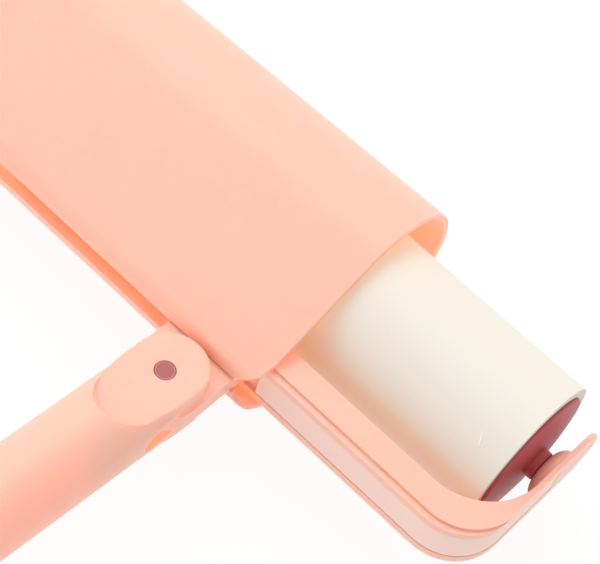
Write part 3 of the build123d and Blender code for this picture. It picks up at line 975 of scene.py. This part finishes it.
class LINT_OT_studio(Operator):
    """Make the floor, the light tent, the lamps and the camera"""

    bl_idname = "lint.studio"
    bl_label = "Studio"

    def execute(self, context):
        studio = context.scene.lint_studio
        context.scene.view_settings.view_transform = "Standard"
        self.light_tent(context.scene, studio)
        self.floor(context.scene, studio)
        self.lamps(context.scene, studio)
        self.camera(context.scene, studio)
        return {"FINISHED"}

    def light_tent(self, scene, studio):
        """White all round; what the camera sees directly or in gloss is plain white."""
        world = bpy.data.worlds.new("Light tent")
        scene.world = world
        world.use_nodes = True
        tree = world.node_tree
        tree.nodes.clear()
        tent = add_node(tree, "Background", values=(("Color", (1.0, 0.99, 0.98, 1.0)),))
        plain = add_node(tree, "Background", values=(("Color", (1.0, 1.0, 1.0, 1.0)), ("Strength", 1.0)))
        way = add_node(tree, "TexCoord")
        facing = add_node(tree, "VectorMath", operation="DOT_PRODUCT")
        facing.inputs[1].default_value = Vector(studio.brighter).normalized()
        level = add_node(tree, "MapRange", values=(("From Min", -1.0),))
        level.inputs["To Min"].default_value = studio.ambient * (1.0 - studio.slant)
        level.inputs["To Max"].default_value = studio.ambient * (1.0 + studio.slant)
        tree.links.new(way.outputs["Generated"], facing.inputs[0])
        tree.links.new(facing.outputs["Value"], level.inputs["Value"])
        tree.links.new(level.outputs["Result"], tent.inputs["Strength"])
        pick = add_node(tree, "MixShader")
        out = add_node(tree, "OutputWorld")
        tree.links.new(seen(tree), pick.inputs[0])
        tree.links.new(tent.outputs[0], pick.inputs[1])
        tree.links.new(plain.outputs[0], pick.inputs[2])
        tree.links.new(pick.outputs[0], out.inputs["Surface"])

    def floor(self, scene, studio):
        """A wide pale disc under the object that shows plain white with the object's shadow."""
        sides, reach, below = 96, studio.floor_reach, 0.2 * mm
        turns = [2 * math.pi * k / sides for k in range(sides)]
        ring = [(reach * math.cos(turn), reach * math.sin(turn), 0.0) for turn in turns]
        mesh = bpy.data.meshes.new("floor")
        mesh.from_pydata(ring, [], [tuple(range(sides))])
        floor = bpy.data.objects.new("floor", mesh)
        floor.location.z = cad_box[0].z - below
        scene.collection.objects.link(floor)
        material, tree, shader = new_material("Floor")
        shader.inputs["Base Color"].default_value = (0.25, 0.25, 0.25, 1.0)
        shader.inputs["Emission Color"].default_value = (1.0, 1.0, 1.0, 1.0)
        shader.inputs["Emission Strength"].default_value = studio.bounce
        shader.inputs["Roughness"].default_value = 0.9
        shader.inputs["Specular IOR Level"].default_value = 0.1
        paint = add_node(tree, "BsdfDiffuse", values=(("Color", (1.0, 1.0, 1.0, 1.0)),))
        white = add_node(tree, "Emission", values=(("Strength", 1.0),))
        blend = add_node(tree, "MixShader", values=((0, studio.shadow),))
        pick = add_node(tree, "MixShader")
        tree.links.new(white.outputs[0], blend.inputs[1])
        tree.links.new(paint.outputs[0], blend.inputs[2])
        tree.links.new(seen(tree), pick.inputs[0])
        tree.links.new(shader.outputs[0], pick.inputs[1])
        tree.links.new(blend.outputs[0], pick.inputs[2])
        tree.links.new(pick.outputs[0], tree.nodes["Material Output"].inputs["Surface"])
        mesh.materials.append(material)

    def lamps(self, scene, studio):
        """A broad soft lamp above and behind the object, and a smaller low one at the handle's side."""
        self.soft_lamp(scene, "Key lamp", studio.key_place, studio.key_size, studio.key)
        self.soft_lamp(scene, "Fill lamp", studio.fill_place, studio.fill_size, studio.fill)

    def soft_lamp(self, scene, name, place, size, power):
        """A round lamp that looks at the middle of the object."""
        data = bpy.data.lights.new(name, "AREA")
        data.shape = "DISK"
        data.size = size
        data.energy = power
        lamp = bpy.data.objects.new(name, data)
        lamp.location = place
        aim = sum(cad_box, Vector()) / 2 - lamp.location
        lamp.rotation_mode = "QUATERNION"
        lamp.rotation_quaternion = aim.to_track_quat("-Z", "Y")
        scene.collection.objects.link(lamp)

    def camera(self, scene, studio):
        """Looks down at the free end of the roll."""
        target = roll_centre() + Vector(studio.aim)
        a, e = studio.azimuth, studio.elevation
        back = Vector((math.cos(a) * math.cos(e), math.sin(a) * math.cos(e), math.sin(e)))
        data = bpy.data.cameras.new("Camera")
        data.lens = studio.lens
        data.sensor_width = 36.0
        camera = bpy.data.objects.new("Camera", data)
        turn = (-back).to_track_quat("-Z", "Y").to_matrix() @ Matrix.Rotation(studio.roll, 3, "Z")
        camera.matrix_world = Matrix.Translation(target + studio.distance * back) @ turn.to_4x4()
        scene.collection.objects.link(camera)
        scene.camera = camera


class LINT_PT_panel(Panel):
    """Every piece and finish of the lint roller"""

    bl_idname = "LINT_PT_panel"
    bl_label = "Lint Roller"
    bl_space_type = "VIEW_3D"
    bl_region_type = "UI"
    bl_category = "Lint Roller"

    def draw(self, context):
        for step in steps:
            self.layout.operator(step.bl_idname)
        for settings in (getattr(context.scene, key) for key in groups):
            box = self.layout.box()
            for key in settings.__annotations__:
                box.prop(settings, key)


steps = (LINT_OT_cover, LINT_OT_cradle, LINT_OT_handle, LINT_OT_hinge, LINT_OT_roll, LINT_OT_studio)
groups = {
    "lint_plastic": PlasticSettings,
    "lint_shape": ShapeSettings,
    "lint_paper": PaperSettings,
    "lint_studio": StudioSettings,
}


def register():
    """Adds the settings, the operators and the panel."""
    for cls in (*groups.values(), *steps, LINT_PT_panel):
        bpy.utils.register_class(cls)
    for key, cls in groups.items():
        setattr(bpy.types.Scene, key, PointerProperty(type=cls))


def unregister():
    """Takes away what register added."""
    for key in groups:
        delattr(bpy.types.Scene, key)
    for cls in reversed((*groups.values(), *steps, LINT_PT_panel)):
        bpy.utils.unregister_class(cls)


def main():
    register()
    for step in steps:
        area, name = step.bl_idname.split(".")
        getattr(getattr(bpy.ops, area), name)()


if __name__ == "__main__":
    main()
